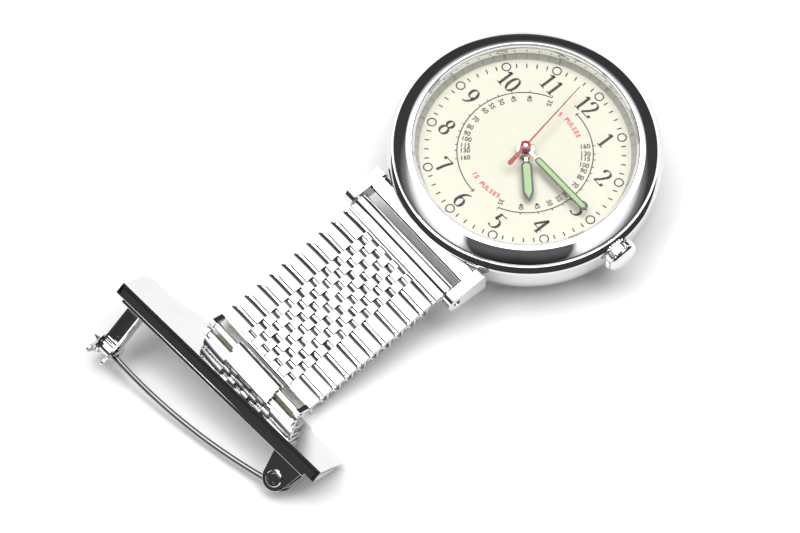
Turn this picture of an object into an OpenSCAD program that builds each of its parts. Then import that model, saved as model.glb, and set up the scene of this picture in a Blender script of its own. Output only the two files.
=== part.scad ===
// Fob watch for a nurse: a round quartz watch head, a short expansion band
// that hangs from one pair of lugs, and a bar brooch with a safety catch.
// The head lies on its back: the case back is at z = 0, the dial faces +Z,
// twelve o'clock points to +Y and the crown to +X. The band runs to -Y.

/* [Watch head] */
// Outside diameter of the bezel
bezel_d = 28; // [27.6:0.1:28.4]
// Diameter of the crystal
crystal_d = 22.96; // [22.9:0.01:22.98]
// Height of the dial face above the case back
dial_z = 5.3; // [5.2:0.05:5.4]
// Height of the crown's axis
crown_z = 4.4; // [4.3:0.05:4.45]
// Diameter of the crown
crown_d = 3.5; // [3:0.1:3.8]
// Travel of the crown when it is pulled out to set the time
crown_pull = 0.9; // [0.5:0.1:1.2]

/* [Lugs] */
// Clear width between the lugs
lug_gap = 14; // [13.8:0.1:14.4]
// Thickness of each lug
lug_t = 1.2; // [1:0.1:1.6]
// Distance of the spring bar from the watch centre
bar_reach = 16; // [15.9:0.1:16.2]
// Height of the spring bar
bar_z = 4.35; // [4.2:0.05:4.5]

/* [Hands] */
// Hour hand, clockwise from twelve, in degrees
hour_angle = 127.5; // [0:0.5:360]
// Minute hand, clockwise from twelve, in degrees
minute_angle = 89.8; // [0:0.1:360]
// Second hand, clockwise from twelve, in degrees
second_angle = 349.5; // [0:0.5:360]

/* [Band] */
// Width of the band
band_w = 13.6; // [13.2:0.1:13.8]
// Length of one row of the band
row_pitch = 1.64; // [1.6:0.01:1.68]
// Downward slope of the band as it lies, in degrees
band_slope = 10; // [8:0.5:11]
// Height of the band's outer face above the spring bar's axis
band_top = 0.88; // [0.8:0.01:0.95]
// Depth of the band from its outer face to its inner face
band_depth = 2; // [1.9:0.05:2.05]

/* [Brooch] */
// Length of the brooch plate
plate_l = 27.6; // [27:0.2:28.4]
// Height of the plate at its two ends
plate_end_h = 5.7; // [5.4:0.1:5.9]
// Height of the plate beside its knuckle
plate_mid_h = 7.1; // [6.8:0.1:7.2]
// Slope of the plate's face from level as it lies, in degrees
plate_slope = 48.5; // [47:0.5:50]
// Lean of the plate in its own plane as it lies on its hinge, in degrees
plate_lean = 8; // [5:0.5:9]
// Diameter of the pin's wire
pin_d = 0.56; // [0.5:0.02:0.6]

/* [Hidden] */
$fn = 48;

row_count = 10;
bezel_r = bezel_d / 2;
crystal_r = crystal_d / 2;
bore_r = crystal_r + 0.04;
case_r = bezel_r - 0.2;
case_top = 5;
cavity_r = 11.6;
back_t = 0.9;
dial_bottom = case_top;
crystal_z = 7.0;
crystal_t = 0.55;

crown_x = bezel_r + 0.05;
lever_x = 7;

// Heights in the movement, from the train bridge up to the hands
bridge_z = 1.55;
bridge_t = 0.3;
plate_z = 3.3;
plate_t = 0.9;
rim_top = 4.95;
hour_hand_z = 5.9;
minute_hand_z = 6.3;
second_hand_z = 6.65;
hand_t = 0.12;

// Arbor places, each as [distance, angle] turned to [x, y]
function at_angle(d, a) = [d * cos(a), d * sin(a)];
third_module = 0.075;
third_d = third_module * 36;
fourth_pinion_module = third_d / 34;
third_angle = 200;
third_at = at_angle(third_d, third_angle);
step_module = 0.08;
step_angle = 75;
step_at = at_angle(step_module * 35, step_angle);
rotor_angle = 30;
rotor_at = step_at + at_angle(step_module * 36, rotor_angle);
cannon_module = 0.1;
motion_angle = 180;
motion_d = cannon_module * 24;
motion_at = at_angle(motion_d, motion_angle);
hour_module = motion_d / 25;
pillars = [[-5.4, -2.6], [5.2, 2.4], [-3, 4.4]];
battery_at = [4.6, -4.6];
battery_r = 3.4;

// Axes of the band and the brooch
knuckle_y = -35.27;
knuckle_z = 2;
// The knuckle's axis, measured down the face from the ridge and out from it
knuckle_down = 6.28;
knuckle_out = 0.6;
plate_x = -0.7;
lip_h = 1.2;
row_start = 1.55;
rows_end = row_start + row_count * row_pitch;
brick_zone = 3.55;
brick_w = 2 * brick_zone / 7;
band_bottom = band_top - band_depth;
brick_gap = 0.05;
row_gap = 0.14;
knuckle_u = (-bar_reach - knuckle_y) * cos(band_slope) + (bar_z - knuckle_z) * sin(band_slope);
knuckle_v = (-bar_reach - knuckle_y) * sin(band_slope) - (bar_z - knuckle_z) * cos(band_slope);
sheet_t = 0.5;
return_d = 1.3;
strip_t = 0.4;
rivet_x = 10.5;
rivet_n = -4.05;
pin_w = 1.02;
pin_bow = 1.1;
catch_x = -11.1;
catch_n = -6.86;
steel = [0.82, 0.83, 0.85];
gold = [0.86, 0.7, 0.35];

// Ring of height h standing on z = 0
module ring(outer, inner, h) {
    difference() {
        cylinder(r = outer, h = h);
        translate([0, 0, -1]) cylinder(r = inner, h = h + 2);
    }
}

// Rod along X from x1 to x2
module rod_x(r, x1, x2) {
    translate([x1, 0, 0]) rotate([0, 90, 0]) cylinder(r = r, h = x2 - x1);
}

// Box between two corners
module box(a, b) {
    translate(a) cube(b - a);
}

// Toothed wheel: one tooth is centred on the angle first
module gear(teeth, size, t, first = 0) {
    step = 360 / teeth;
    tip = size * (teeth / 2 + 0.9);
    root = size * (teeth / 2 - 1.15);
    corners = [[root, -0.3], [tip, -0.11], [tip, 0.11], [root, 0.3]];
    linear_extrude(t)
        polygon([for (k = [0:teeth - 1]) for (c = corners) at_angle(c[0], first + (k + c[1]) * step)]);
}

// Gap of the second wheel that faces a tooth of the first along the angle a
function facing(a, teeth) = a + 180 + 180 / teeth;

// ---- Case ----

module case_profile() {
    polygon([
        [cavity_r, back_t], [12.8, back_t], [case_r - 0.35, 1.5],
        [case_r, 3], [case_r, case_top], [cavity_r, case_top]
    ]);
}

// One lug seen from the side, with Y along the band and Z up
module lug_profile() {
    translate([-bar_reach, bar_z]) circle(r = 1.1);
    polygon([
        [-bar_reach, bar_z - 1.1], [-bar_reach + 0.1, bar_z + 1.1],
        [-12.6, 5.75], [-12.2, case_top], [-12.2, 2.9]
    ]);
}

module case_middle() {
    color(steel)
    difference() {
        union() {
            rotate_extrude() case_profile();
            for (x = [-lug_gap / 2 - lug_t, lug_gap / 2])
                translate([x, 0, 0]) rotate([90, 0, 90]) linear_extrude(lug_t) lug_profile();
            box([-lug_gap / 2 - 0.1, -14.5, 2.9], [lug_gap / 2 + 0.1, -11.8, case_top + 0.2]);
        }
        translate([0, 0, -1]) cylinder(r = cavity_r, h = 8);
        translate([0, 0, case_top]) cylinder(r = bezel_r + 0.05, h = 4);
        translate([0, -bar_reach, bar_z]) rod_x(0.45, -10, 10);
        translate([0, 0, crown_z]) rod_x(0.55, 10, 16);
    }
}

// Centre of the arc of radius r that bulges outwards from p to q
function bulge_centre(p, q, r) =
    let (m = (p + q) / 2, d = q - p, half = norm(d) / 2)
    m + [-d[1], d[0]] / norm(d) * sqrt(r * r - half * half);

module bezel() {
    foot = [bezel_r - 0.8, 6.15];
    lip = [crystal_r + 0.22, 7.42];
    arc_r = 3;
    centre = bulge_centre(foot, lip, arc_r);
    color(steel)
    rotate_extrude() {
        polygon([
            [bore_r, case_top], [bezel_r, case_top], [bezel_r, 5.42],
            [bezel_r - 0.66, 6.12], [bezel_r - 0.68, 5.95], [bore_r, 5.95]
        ]);
        intersection() {
            translate([bore_r, case_top + 0.4]) square([foot[0] - bore_r, 2]);
            translate(centre) circle(r = arc_r, $fn = 96);
        }
    }
}

module crystal() {
    color([0.85, 0.9, 0.95, 0.3])
    translate([0, 0, crystal_z]) {
        cylinder(r = crystal_r, h = crystal_t - 0.12);
        translate([0, 0, crystal_t - 0.12])
            cylinder(r1 = crystal_r, r2 = crystal_r - 0.12, h = 0.12);
    }
}

module crystal_gasket() {
    color([0.25, 0.25, 0.25])
    translate([0, 0, crystal_z - 0.2]) ring(crystal_r, crystal_r - 0.25, 0.2);
}

module rehaut_ring() {
    color([0.8, 0.8, 0.76])
    rotate_extrude()
        polygon([
            [10.75, dial_z], [crystal_r, dial_z], [crystal_r, crystal_z - 0.2],
            [crystal_r - 0.2, crystal_z - 0.2], [10.85, dial_z + 0.35]
        ]);
}

module case_back() {
    color(steel)
    difference() {
        rotate_extrude()
            polygon([
                [0, 0], [12, 0], [12.6, 0.3], [12.6, back_t], [cavity_r - 0.05, back_t],
                [cavity_r - 0.05, 1.3], [10.9, 1.3], [10.9, back_t], [0, back_t]
            ]);
        rotate([0, 0, 50]) box([12.2, -1.5, 0.55], [13, 1.5, 1]);
    }
}

module dial() {
    color([0.97, 0.96, 0.86])
    difference() {
        union() {
            translate([0, 0, dial_bottom]) cylinder(r = crystal_r - 0.05, h = dial_z - dial_bottom);
            for (a = [45, 225])
                rotate([0, 0, a]) translate([9.6, 0, 4.4]) cylinder(r = 0.35, h = 0.7);
        }
        translate([0, 0, 4]) cylinder(r = 0.9, h = 2);
    }
}

// ---- Movement ----

module movement_ring() {
    color([0.2, 0.2, 0.22])
    difference() {
        translate([0, 0, 1.35]) ring(cavity_r - 0.05, 10.25, rim_top - 1.35);
        translate([0, 0, crown_z]) rod_x(0.5, 9, 13);
        translate([0, 0, crown_z + 0.25]) box([9, -0.5, 0], [13, 0.5, 1]);
    }
}

module main_plate() {
    color(gold)
    difference() {
        union() {
            translate([0, 0, plate_z]) cylinder(r = 10.2, h = plate_t);
            translate([0, 0, plate_z + plate_t]) ring(10.2, 9, rim_top - plate_z - plate_t);
            box([5.4, -1.4, plate_z + 0.1], [9.4, 1.4, rim_top]);
            translate([motion_at[0], motion_at[1], plate_z]) cylinder(r = 0.2, h = 1.6);
        }
        translate([0, 0, crown_z]) rod_x(0.4, 4.6, 11);
        box([lever_x - 0.1, -1, crown_z - 0.55], [lever_x + crown_pull + 0.35, 1, 6]);
        for (p = [[0, 0, 0.34], [third_at[0], third_at[1], 0.15],
                  [step_at[0], step_at[1], 0.15], [rotor_at[0], rotor_at[1], 0.15]])
            translate([p[0], p[1], plate_z - 1]) cylinder(r = p[2], h = plate_t + 2);
        for (p = pillars) translate([p[0], p[1], plate_z - 1]) cylinder(r = 0.25, h = 1.4);
        for (a = [45, 225])
            rotate([0, 0, a]) translate([9.6, 0, plate_z + plate_t]) cylinder(r = 0.4, h = 1);
    }
}

module train_bridge() {
    color(steel)
    difference() {
        union() {
            translate([0, 0, bridge_z]) linear_extrude(bridge_t)
                polygon([
                    [-6.2, -3.6], [0.6, -3.8], [3.4, -0.8], [6.6, 2.4],
                    [5.4, 5.2], [3.2, 6.2], [-3.6, 5.6], [-6.2, 1.8]
                ]);
            for (p = pillars)
                translate([p[0], p[1], bridge_z]) cylinder(r = 0.5, h = plate_z - bridge_z);
        }
        for (p = [[0, 0], third_at, step_at, rotor_at])
            translate([p[0], p[1], 1]) cylinder(r = 0.13, h = 1);
        for (p = pillars) translate([p[0], p[1], 1]) cylinder(r = 0.26, h = 3);
    }
}

module movement_screws() {
    color([0.6, 0.62, 0.68])
    for (p = pillars)
        translate([p[0], p[1], 0])
        difference() {
            union() {
                translate([0, 0, 1.3]) cylinder(r = 0.6, h = bridge_z - 1.3);
                translate([0, 0, bridge_z - 0.1]) cylinder(r = 0.24, h = 2.1);
            }
            box([-1, -0.08, 1.2], [1, 0.08, 1.4]);
        }
}

module battery() {
    color(steel)
    translate([battery_at[0], battery_at[1], 1.3]) {
        cylinder(r = battery_r, h = 1.5);
        translate([0, 0, 1.5]) cylinder(r = battery_r - 0.5, h = 0.4);
    }
}

module stator() {
    color([0.7, 0.7, 0.72])
    difference() {
        box([-0.3, 3.1, 2.75], [6.7, 7.6, 3.2]);
        box([1, 5.3, 2], [5.7, 9, 4]);
        translate([rotor_at[0], rotor_at[1], 2]) cylinder(r = 0.9, h = 2);
    }
}

module coil() {
    color([0.72, 0.4, 0.2]) {
        translate([0, 7.1, 1.95]) rod_x(0.78, 0.9, 5.6);
        translate([0, 7.1, 1.95]) rod_x(0.35, -0.1, 6.6);
    }
    color([0.7, 0.7, 0.72])
    for (x = [-0.1, 5.8]) box([x, 6.6, 1.7], [x + 0.8, 7.6, 2.72]);
}

module circuit_board() {
    color([0.1, 0.4, 0.2])
    translate([0, 0, 2.75]) linear_extrude(0.25)
        intersection() {
            circle(r = 9.8);
            translate([-10, -6]) square([3.8, 12]);
        }
    color([0.08, 0.08, 0.08]) box([-8.6, 2.4, 2.15], [-6.8, 4.4, 2.75]);
}

module quartz_can() {
    color(steel)
    translate([-7.9, 0, 1.98]) rotate([90, 0, 0]) cylinder(r = 0.75, h = 4.6, center = true);
}

module arbor(p, z1, z2, r) {
    translate([p[0], p[1], z1]) cylinder(r = r, h = z2 - z1, $fn = 24);
}

module rotor() {
    color([0.35, 0.35, 0.38]) {
        arbor(rotor_at, 1.6, 3.9, 0.1);
        translate([rotor_at[0], rotor_at[1], 2.65]) cylinder(r = 0.7, h = 0.55);
        translate([rotor_at[0], rotor_at[1], 1.88])
            gear(12, step_module, 0.24, facing(rotor_angle, 12));
    }
}

module intermediate_wheel() {
    color("white") {
        arbor(step_at, 1.6, 3.9, 0.1);
        translate([step_at[0], step_at[1], 1.92]) gear(60, step_module, 0.12, rotor_angle);
        translate([step_at[0], step_at[1], 2.03]) gear(10, step_module, 0.3, facing(step_angle, 10));
    }
}

module fourth_wheel() {
    color(gold) {
        arbor([0, 0], 1.6, second_hand_z, 0.1);
        translate([0, 0, 2.12]) gear(60, step_module, 0.13, step_angle);
        translate([0, 0, 2.2]) gear(8, fourth_pinion_module, 0.6, third_angle);
    }
}

module third_wheel() {
    color(gold) {
        arbor(third_at, 1.6, 3.9, 0.12);
        translate([third_at[0], third_at[1], 2.55])
            gear(60, fourth_pinion_module, 0.14, facing(third_angle, 60));
        translate([third_at[0], third_at[1], 2.65]) gear(8, third_module, 0.6, third_angle + 180);
    }
}

module centre_wheel() {
    color(gold)
    difference() {
        union() {
            translate([0, 0, 3]) gear(64, third_module, 0.14, facing(third_angle + 180, 64));
            translate([0, 0, 3]) cylinder(r = 0.3, h = minute_hand_z - 3);
        }
        translate([0, 0, 2]) cylinder(r = 0.14, h = 5);
    }
}

module cannon_pinion() {
    color(steel)
    difference() {
        union() {
            translate([0, 0, 4.27]) gear(12, cannon_module, 0.25, motion_angle);
            translate([0, 0, 4.27]) cylinder(r = 0.44, h = minute_hand_z - 4.27);
        }
        translate([0, 0, 4]) cylinder(r = 0.3, h = 4);
    }
}

module minute_wheel() {
    color(gold)
    translate([motion_at[0], motion_at[1], 0])
    difference() {
        union() {
            translate([0, 0, 4.3]) gear(36, cannon_module, 0.16, facing(motion_angle, 36));
            translate([0, 0, 4.4]) gear(10, hour_module, 0.46, facing(motion_angle, 10));
        }
        translate([0, 0, 4]) cylinder(r = 0.24, h = 2);
    }
}

module hour_wheel() {
    color(gold)
    difference() {
        union() {
            translate([0, 0, 4.64]) gear(40, hour_module, 0.18, motion_angle);
            translate([0, 0, 4.64]) cylinder(r = 0.7, h = hour_hand_z + hand_t - 4.64);
        }
        translate([0, 0, 4]) cylinder(r = 0.48, h = 4);
    }
}

// ---- Hands ----

module hour_hand() {
    color([0.1, 0.1, 0.1])
    rotate([0, 0, 90 - hour_angle]) translate([0, 0, hour_hand_z]) linear_extrude(hand_t)
        difference() {
            union() {
                circle(r = 1.05);
                translate([0, -0.2]) square([2, 0.4]);
                translate([2.2, 0]) circle(r = 0.57);
                polygon([[2.2, -0.57], [5, -0.57], [6.05, 0], [5, 0.57], [2.2, 0.57]]);
            }
            circle(r = 0.7);
        }
}

module minute_hand() {
    color([0.1, 0.1, 0.1])
    rotate([0, 0, 90 - minute_angle]) translate([0, 0, minute_hand_z]) linear_extrude(hand_t)
        difference() {
            union() {
                circle(r = 0.75);
                translate([0, -0.15]) square([2, 0.3]);
                translate([2, 0]) circle(r = 0.36);
                translate([2, -0.36]) square([6.85, 0.72]);
                translate([8.85, 0]) circle(r = 0.36);
                translate([9, -0.08]) square([0.35, 0.16]);
            }
            circle(r = 0.16);
        }
}

module second_hand() {
    color([0.8, 0.08, 0.08])
    rotate([0, 0, 90 - second_angle]) {
        translate([0, 0, second_hand_z]) linear_extrude(0.1) {
            circle(r = 0.5);
            polygon([[0, -0.13], [8.8, -0.05], [8.8, 0.05], [0, 0.13]]);
            polygon([[0, -0.16], [-2.5, -0.28], [-2.5, 0.28], [0, 0.16]]);
            translate([-2.5, 0]) circle(r = 0.28);
        }
        translate([0, 0, second_hand_z]) cylinder(r = 0.28, h = 0.2);
    }
}

// ---- Crown and stem ----

module crown() {
    color(steel)
    translate([crown_x, 0, crown_z]) rotate([0, 90, 0])
    difference() {
        union() {
            gear(44, crown_d / 45.8, 0.7);
            cylinder(r = crown_d / 2 - 0.25, h = 0.9);
            translate([0, 0, 0.8])
            intersection() {
                cylinder(r = crown_d / 2 - 0.04, h = 2);
                translate([0, 0, -2.35]) sphere(r = 3, $fn = 96);
            }
        }
        translate([0, 0, -1]) cylinder(r = 0.35, h = 1.5);
    }
}

module setting_stem() {
    color([0.6, 0.62, 0.68])
    translate([0, 0, crown_z]) {
        rod_x(0.35, 5.2, lever_x - 0.05);
        rod_x(0.2, lever_x - 0.1, lever_x + 0.3);
        rod_x(0.35, lever_x + 0.25, crown_x + 0.48);
        translate([4.9, 0, 0]) rotate([0, 90, 0]) gear(8, 0.07, 0.4);
    }
}

// Forked plate in the stem's groove: it slides with the stem, which turns in it
module setting_lever() {
    color(steel)
    translate([0, 0, crown_z])
    difference() {
        box([lever_x, -0.9, -0.5], [lever_x + 0.2, 0.9, 0.5]);
        rod_x(0.23, lever_x - 1, lever_x + 1);
        box([lever_x - 1, -0.23, -1], [lever_x + 1, 0.23, 0]);
    }
}

module crown_tube() {
    color(steel)
    translate([0, 0, crown_z]) rotate([0, 90, 0])
        translate([0, 0, cavity_r + 0.1]) ring(0.54, 0.4, case_r - cavity_r - 0.1);
}

// ---- Band ----

module lug_spring_bar() {
    color(steel)
    translate([0, -bar_reach, bar_z]) {
        rod_x(0.62, -6.6, 6.6);
        rod_x(0.42, -lug_gap / 2 - lug_t + 0.15, lug_gap / 2 + lug_t - 0.15);
    }
}

// Places a shape drawn in the band's own frame: local -Y runs along the band
// from the spring bar, local Z is the outward normal
module in_band_frame() {
    translate([0, -bar_reach, bar_z]) rotate([band_slope, 0, 0]) children();
}

// Box across the band from u1 to u2 along it and v1 to v2 above the bar's axis
module band_box(x1, x2, u1, u2, v1, v2) {
    box([x1, -u2, v1], [x2, -u1, v2]);
}

module band_end_link() {
    half = band_w / 2;
    color(steel)
    in_band_frame()
    difference() {
        union() {
            rod_x(0.85, -half, half);
            translate([0, -1.15, 0.3]) rod_x(0.3, -half, half);
            band_box(-half, half, 0.3, 1.2, 0, 0.3);
            band_box(-half + 0.4, half - 0.4, 0.2, 1.35, -0.85, -0.55);
            band_box(-half + 0.4, half - 0.4, 1.1, 1.4, -0.85, 0.25);
            band_box(-half + 0.4, half - 0.4, 1.1, 1.9, -0.25, 0);
        }
        rod_x(0.66, -band_w, band_w);
    }
}

// Top of one row: side plates and even columns in step, odd columns shifted
// by half a row towards the watch head
module cover_top(u, forward) {
    half = band_w / 2;
    top = band_top;
    for (s = [-1, 1]) {
        outer = s * half;
        inner = s * (brick_zone + brick_gap / 2);
        band_box(min(outer, inner), max(outer, inner), u + row_gap, u + row_pitch, top - 0.3, top);
        lip = s * (half - 0.25);
        band_box(min(outer, lip), max(outer, lip), u + row_gap, u + row_pitch, 0.38, top);
    }
    for (c = [0:6]) {
        x = -brick_zone + (c + 0.5) * brick_w;
        w = brick_w / 2 - brick_gap / 2;
        shift = c % 2 == 0 ? row_pitch / 2 : 0;
        start = u - min(shift, forward) + row_gap;
        band_box(x - w, x + w, start, u + row_pitch - shift, top - 0.3, top);
    }
}

module band_cover(k) {
    u = row_start + (k - 1) * row_pitch;
    half = band_w / 2;
    top = band_top;
    color(steel)
    in_band_frame() {
        cover_top(u, k == 1 ? 0 : row_pitch);
        band_box(-half + 0.38, half - 0.38, u + row_gap + 0.02, u + row_pitch / 2 - 0.02, 0.05, top - 0.1);
    }
}

// Inner shell that bridges two covers, with a bent staple at each side
module band_underlink(k) {
    u = row_start + k * row_pitch;
    half = band_w / 2;
    wall = half - 0.3;
    reach = row_pitch / 2 - 0.07;
    color([0.7, 0.71, 0.73])
    in_band_frame() {
        difference() {
            band_box(-wall, wall, u - reach, u + reach, band_bottom, -0.3);
            band_box(-wall + 0.25, wall - 0.25, u - reach + 0.2, u + reach - 0.2, band_bottom + 0.25, 1);
        }
        for (x = [-half + 0.04, half - 0.32])
            for (s = [-1, 1])
                translate([x, -u, 0]) rotate([90, 0, 90]) linear_extrude(0.28)
                    polygon([[s * 0.62, 0.3], [s * 0.38, 0.3], [s * 0.06, -0.85], [s * 0.3, -0.85]]);
    }
}

module band_end_shell() {
    half = band_w / 2;
    u = rows_end;
    cheek = half - 0.55;
    color(steel)
    in_band_frame()
    difference() {
        union() {
            for (c = [0:2:6]) {
                x = -brick_zone + (c + 0.5) * brick_w;
                w = brick_w / 2 - brick_gap / 2;
                band_box(x - w, x + w, u - row_pitch / 2 + row_gap, u + 0.1, band_top - 0.3, band_top);
            }
            band_box(-half, half, u + 0.05, u + 0.4, band_top - 0.55, band_top);
            band_box(-half, half, u + 0.05, u + 0.3, band_bottom, band_top - 0.5);
            for (s = [-1, 1]) {
                x = s > 0 ? cheek : -half;
                band_box(x, x + 0.55, u + 0.1, knuckle_u, knuckle_v - 0.5, band_top);
                translate([0, -knuckle_u, knuckle_v]) rod_x(0.5, x, x + 0.55);
            }
        }
        translate([0, -knuckle_u, knuckle_v]) rod_x(0.28, -half - 1, half + 1);
    }
}

module end_spring_bar() {
    color(steel)
    translate([0, knuckle_y, knuckle_z]) {
        rod_x(0.38, -band_w / 2 + 0.65, band_w / 2 - 0.65);
        rod_x(0.25, -band_w / 2 + 0.1, band_w / 2 - 0.1);
    }
}

// ---- Brooch ----

// Frame on the knuckle's axis: local Y runs down the plate, local Z out of its face
module in_knuckle_frame() {
    translate([0, knuckle_y, knuckle_z]) rotate([-plate_slope, 0, 0]) children();
}

// Frame of the leaning plate: local Y runs down the face from the ridge
module in_plate_frame() {
    in_knuckle_frame() translate([plate_x, 0, 0]) rotate([0, 0, plate_lean])
        translate([0, -knuckle_down, -knuckle_out]) children();
}

module plate_outline() {
    half = plate_l / 2;
    corner = 1.2;
    waist = 8.2;
    polygon([
        [-half, 0], [half, 0], [half, plate_end_h - corner], [half - corner, plate_end_h],
        [waist, plate_mid_h], [-waist, plate_mid_h],
        [-half + corner, plate_end_h], [-half, plate_end_h - corner]
    ]);
    for (s = [-1, 1])
        translate([s * (half - corner), plate_end_h - corner]) circle(r = corner);
}

// Flange that closes one end of the plate, deepest at the ridge
module end_flange(x) {
    translate([x, 0, 0]) rotate([90, 0, 90]) linear_extrude(0.4)
        polygon([
            [0, 0], [0, -return_d], [1.2, -return_d],
            [plate_end_h - 1.4, -sheet_t], [plate_end_h - 1.4, 0]
        ]);
}

module brooch_plate() {
    half = plate_l / 2;
    lip = 7.2;
    color(steel)
    difference() {
        union() {
            in_plate_frame() {
                translate([0, 0, -sheet_t]) linear_extrude(sheet_t) plate_outline();
                box([-half, 0, -return_d], [half, 0.45, -0.1]);
                end_flange(-half);
                end_flange(half - 0.4);
            }
            in_knuckle_frame()
                box([-lip, -1.5, -knuckle_out - sheet_t], [lip, lip_h, -knuckle_out]);
            translate([0, knuckle_y, knuckle_z]) rod_x(0.75, -3, 3.5);
        }
        in_knuckle_frame() box([-lip, lip_h, -5], [lip, 5, 5]);
        translate([0, knuckle_y, knuckle_z]) rod_x(0.42, -band_w, band_w);
        box([-plate_l, -60, -3], [plate_l, 0, 0]);
    }
}

// Teardrop ear that stands behind the strip around the rivet
module hinge_ear(w, r) {
    t = 0.35;
    translate([0, w + t, 0]) rotate([90, 0, 0]) linear_extrude(t)
        difference() {
            union() {
                translate([rivet_x, rivet_n]) circle(r = r);
                polygon([
                    [rivet_x - r, rivet_n], [rivet_x + r, rivet_n],
                    [rivet_x + 1.9, -return_d - 0.2], [rivet_x - 1.9, -return_d - 0.2]
                ]);
            }
            translate([rivet_x, rivet_n]) circle(r = 0.5);
        }
}

module brooch_strip() {
    color(steel)
    in_plate_frame() {
        box([-12.8, 0.02, -return_d - strip_t], [12.6, 2, -return_d]);
        hinge_ear(0.28, 1.35);
        hinge_ear(1.43, 1.6);
    }
}

module hinge_rivet() {
    color(steel)
    in_plate_frame()
    translate([rivet_x, 0, rivet_n]) rotate([-90, 0, 0]) {
        translate([0, 0, 0.02]) cylinder(r = 0.85, h = 0.26);
        translate([0, 0, 0.2]) cylinder(r = 0.45, h = 1.7);
    }
}

// Bowed wire: straight lengths with a small ball at each bend
module brooch_pin() {
    r = pin_d / 2;
    start = [rivet_x, rivet_n - 0.77];
    end = [catch_x - 1.1, catch_n + 0.08];
    steps = 6;
    path = [for (i = [0:steps]) let (t = i / steps)
        start + (end - start) * t - [0, 4 * pin_bow * t * (1 - t)]];
    color(steel)
    in_plate_frame() {
        for (i = [1:steps]) {
            d = path[i] - path[i - 1];
            translate([path[i][0], pin_w, path[i][1]]) {
                sphere(r = r + 0.02);
                rotate([0, -atan2(d[1], d[0]), 0]) rod_x(r, -norm(d), 0);
            }
        }
        translate([end[0], pin_w, end[1]]) rotate([0, -86, 0])
            cylinder(r1 = r, r2 = 0.05, h = 1);
        translate([rivet_x, pin_w + 0.32, rivet_n]) rotate([90, 0, 0]) ring(1.05, 0.49, 0.64);
    }
}

// Cheek at one end of the catch, from the strip down to the barrel
module catch_cheek(x) {
    translate([x, 0, 0]) rotate([90, 0, 90]) linear_extrude(0.25)
        union() {
            translate([pin_w, catch_n]) circle(r = 0.98);
            polygon([
                [pin_w - 0.98, catch_n], [pin_w + 0.98, catch_n],
                [pin_w + 0.75, -return_d - strip_t], [pin_w - 0.75, -return_d - strip_t]
            ]);
        }
}

module catch_housing() {
    foot = -return_d - strip_t;
    color(steel)
    in_plate_frame()
    difference() {
        union() {
            catch_cheek(catch_x - 0.85);
            catch_cheek(catch_x + 0.6);
            translate([0, pin_w, catch_n]) rod_x(0.98, catch_x - 0.7, catch_x + 0.7);
            box([catch_x - 0.7, pin_w + 0.55, catch_n], [catch_x + 0.7, pin_w + 0.75, foot]);
            box([catch_x - 0.85, pin_w - 0.75, foot - 0.25], [catch_x + 0.85, pin_w + 0.75, foot]);
        }
        translate([0, pin_w, catch_n]) rod_x(0.72, catch_x - 1, catch_x + 1);
        box([catch_x - 1, pin_w - 0.42, catch_n - 2], [catch_x + 1, pin_w + 0.42, catch_n]);
    }
}

module catch_rotor() {
    color(steel)
    in_plate_frame()
    translate([catch_x, pin_w, catch_n])
    difference() {
        union() {
            rod_x(0.69, -1.1, 1.1);
            for (x = [-1.15, 0.9]) {
                rod_x(0.95, x, x + 0.25);
                box([x, -2.2, -0.75], [x + 0.25, -0.3, 0.2]);
                translate([0, -2.2, -0.28]) rod_x(0.48, x, x + 0.25);
            }
        }
        rod_x(0.42, -2, 2);
        box([-2, -0.4, -3], [2, 0.4, 0]);
    }
}

case_middle();
bezel();
crystal();
crystal_gasket();
rehaut_ring();
case_back();
dial();
movement_ring();
main_plate();
train_bridge();
movement_screws();
battery();
stator();
coil();
circuit_board();
quartz_can();
crown_tube();
lug_spring_bar();
rotor();
intermediate_wheel();
fourth_wheel();
third_wheel();
centre_wheel();
cannon_pinion();
minute_wheel();
hour_wheel();
hour_hand();
minute_hand();
second_hand();
crown();
setting_stem();
setting_lever();
band_end_link();
for (k = [1:row_count])
    band_cover(k);
for (k = [1:row_count - 1])
    band_underlink(k);
band_end_shell();
end_spring_bar();
brooch_plate();
brooch_strip();
hinge_rivet();
brooch_pin();
catch_housing();
catch_rotor();
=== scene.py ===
"""Looks of the fob watch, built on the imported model. Lengths in the helpers are millimetres."""

import math
import random

import bmesh
import bpy
from mathutils import Matrix, Vector


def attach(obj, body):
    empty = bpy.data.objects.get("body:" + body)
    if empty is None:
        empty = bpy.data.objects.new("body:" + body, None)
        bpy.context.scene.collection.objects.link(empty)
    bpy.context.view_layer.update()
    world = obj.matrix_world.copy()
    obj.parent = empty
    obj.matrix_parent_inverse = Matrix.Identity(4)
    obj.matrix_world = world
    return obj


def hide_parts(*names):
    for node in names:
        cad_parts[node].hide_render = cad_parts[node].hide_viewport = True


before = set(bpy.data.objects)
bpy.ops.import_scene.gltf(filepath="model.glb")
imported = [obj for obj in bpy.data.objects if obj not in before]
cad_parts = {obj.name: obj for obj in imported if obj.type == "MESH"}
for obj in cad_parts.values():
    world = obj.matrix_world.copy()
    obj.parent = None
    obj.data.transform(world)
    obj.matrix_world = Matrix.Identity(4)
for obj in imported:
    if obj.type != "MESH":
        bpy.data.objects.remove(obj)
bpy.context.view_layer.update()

MM = 0.001
TAU = 2 * math.pi
random.seed(7)


# ---- Sizes and places. Z is height, -Y runs from the head along the band ----

# Head: the case is turned round Z and the crown points to +X
BEZEL_R = 14.0
CASE_R = 13.8
CASE_TOP = 4.99
BORE_R = 11.5
CRYSTAL_Z = 7.0
REHAUT_R = 11.46
DIAL_R = 11.42
DIAL_Z = 5.3
CROWN_X, CROWN_Z = BEZEL_R + 0.05, 4.4
CROWN_RIBS = 32
LUG_GAP = 14.0
LUG_W = 1.2

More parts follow.
